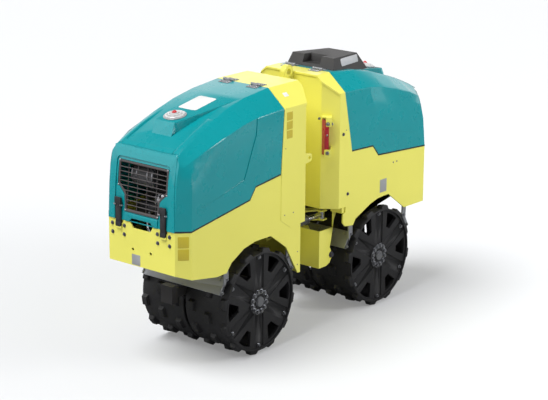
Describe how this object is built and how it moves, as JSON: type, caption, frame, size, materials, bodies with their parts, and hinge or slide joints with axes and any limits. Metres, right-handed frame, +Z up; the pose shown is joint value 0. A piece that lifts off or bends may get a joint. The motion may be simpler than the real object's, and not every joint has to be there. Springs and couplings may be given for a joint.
{
  "type": "trench roller",
  "caption": "Articulated walk-behind style trench roller on padfoot drum pairs, with two hinged hoods, a steering cylinder, scrapers and a lifting eye.",
  "frame": {"origin": "on the ground under the middle of the whole machine", "axes": "+X towards the engine half's grille, +Y to the machine's left, +Z up"},
  "size_m": [2.07, 0.576, 1.39],
  "materials": {
    "chassis_paint": "satin",
    "hood_paint": "gloss",
    "black_steel": "satin",
    "bare_steel": "satin",
    "chrome_rod": "polished",
    "dark_paint": "satin",
    "drum_iron": "satin black paint",
    "lamp_plastic": "clear gloss",
    "black_rubber": "matte",
    "black_plastic": "fine grain",
    "red_paint": "gloss",
    "engine_metal": "raw"
  },
  "bodies": {
    "front_frame": {"front_chassis": "chassis_paint", "front_bulkhead": "chassis_paint", "steering_bracket": "chassis_paint", "steering_pin": "bare_steel", "steering_cylinder_bracket": "chassis_paint", "front_axle_carrier": "black_steel", "front_scrapers": "bare_steel", "front_centre_box": "black_steel", "front_cap_hinges": "bare_steel", "engine_block": "engine_metal", "exhaust_silencer": "engine_metal"},
    "front_hood": {"front_hood": "hood_paint", "front_grille": "black_steel", "front_beacon": "lamp_plastic", "front_hood_hinges": "bare_steel", "front_latches": "black_rubber"},
    "front_drum": {"front_drum_left": "drum_iron", "front_drum_right": "drum_iron", "front_drum_discs": "drum_iron", "front_axle_shaft": "bare_steel"},
    "articulation": {"articulation_yoke": "chassis_paint"},
    "cylinder_barrel": {"steering_cylinder_barrel": "dark_paint"},
    "cylinder_rod": {"steering_cylinder_rod": "chrome_rod"},
    "rear_frame": {"rear_chassis": "chassis_paint", "rear_bulkhead": "chassis_paint", "rear_axle_carrier": "black_steel", "rear_scrapers": "bare_steel", "rear_cap_hinges": "bare_steel", "lifting_eye": "chassis_paint", "lock_brackets": "chassis_paint", "lock_bar": "red_paint", "hydraulic_tank": "dark_paint"},
    "rear_hood": {"rear_hood": "hood_paint", "rear_grille": "black_steel", "rear_beacon": "lamp_plastic", "rear_hood_hinges": "bare_steel", "rear_latches": "black_rubber", "receiver_cover": "black_plastic"},
    "rear_drum": {"rear_drum_left": "drum_iron", "rear_drum_right": "drum_iron", "rear_drum_discs": "drum_iron", "rear_axle_shaft": "bare_steel"}
  },
  "joints": [
    {"name": "front_drum_spin", "type": "hinge", "parent": "front_frame", "child": "front_drum", "pos_m": [0.457, 0, 0.277], "axis": [0, 1, 0], "continuous": true},
    {"name": "front_hood_lid", "type": "hinge", "parent": "front_frame", "child": "front_hood", "pos_m": [0.27, 0, 1.343], "axis": [0, -1, 0], "range_deg": [0, 60]},
    {"name": "steer", "type": "hinge", "parent": "front_frame", "child": "articulation", "pos_m": [-0.039, 0, 0.438], "axis": [0, 0, 1], "range_deg": [-30, 30]},
    {"name": "oscillation", "type": "hinge", "parent": "articulation", "child": "rear_frame", "pos_m": [-0.039, 0, 0.438], "axis": [1, 0, 0], "range_deg": [-6, 6]},
    {"name": "cylinder_swing", "type": "hinge", "parent": "front_frame", "child": "cylinder_barrel", "pos_m": [0.246, 0.15, 0.563], "axis": [0, 0, 1], "range_deg": [-12, 12]},
    {"name": "cylinder_stroke", "type": "slide", "parent": "cylinder_barrel", "child": "cylinder_rod", "axis": [-1, 0, 0], "range_m": [-0.08, 0.08]},
    {"name": "rear_drum_spin", "type": "hinge", "parent": "rear_frame", "child": "rear_drum", "pos_m": [-0.554, 0, 0.277], "axis": [0, 1, 0], "continuous": true},
    {"name": "rear_hood_lid", "type": "hinge", "parent": "rear_frame", "child": "rear_hood", "pos_m": [-0.231, 0, 1.343], "axis": [0, 1, 0], "range_deg": [0, 60]}
  ],
  "couplings": [
    {"joint": "cylinder_swing", "follows": "steer", "ratio": 0.3593},
    {"joint": "cylinder_stroke", "follows": "steer", "m_per_rad": 0.148}
  ]
}
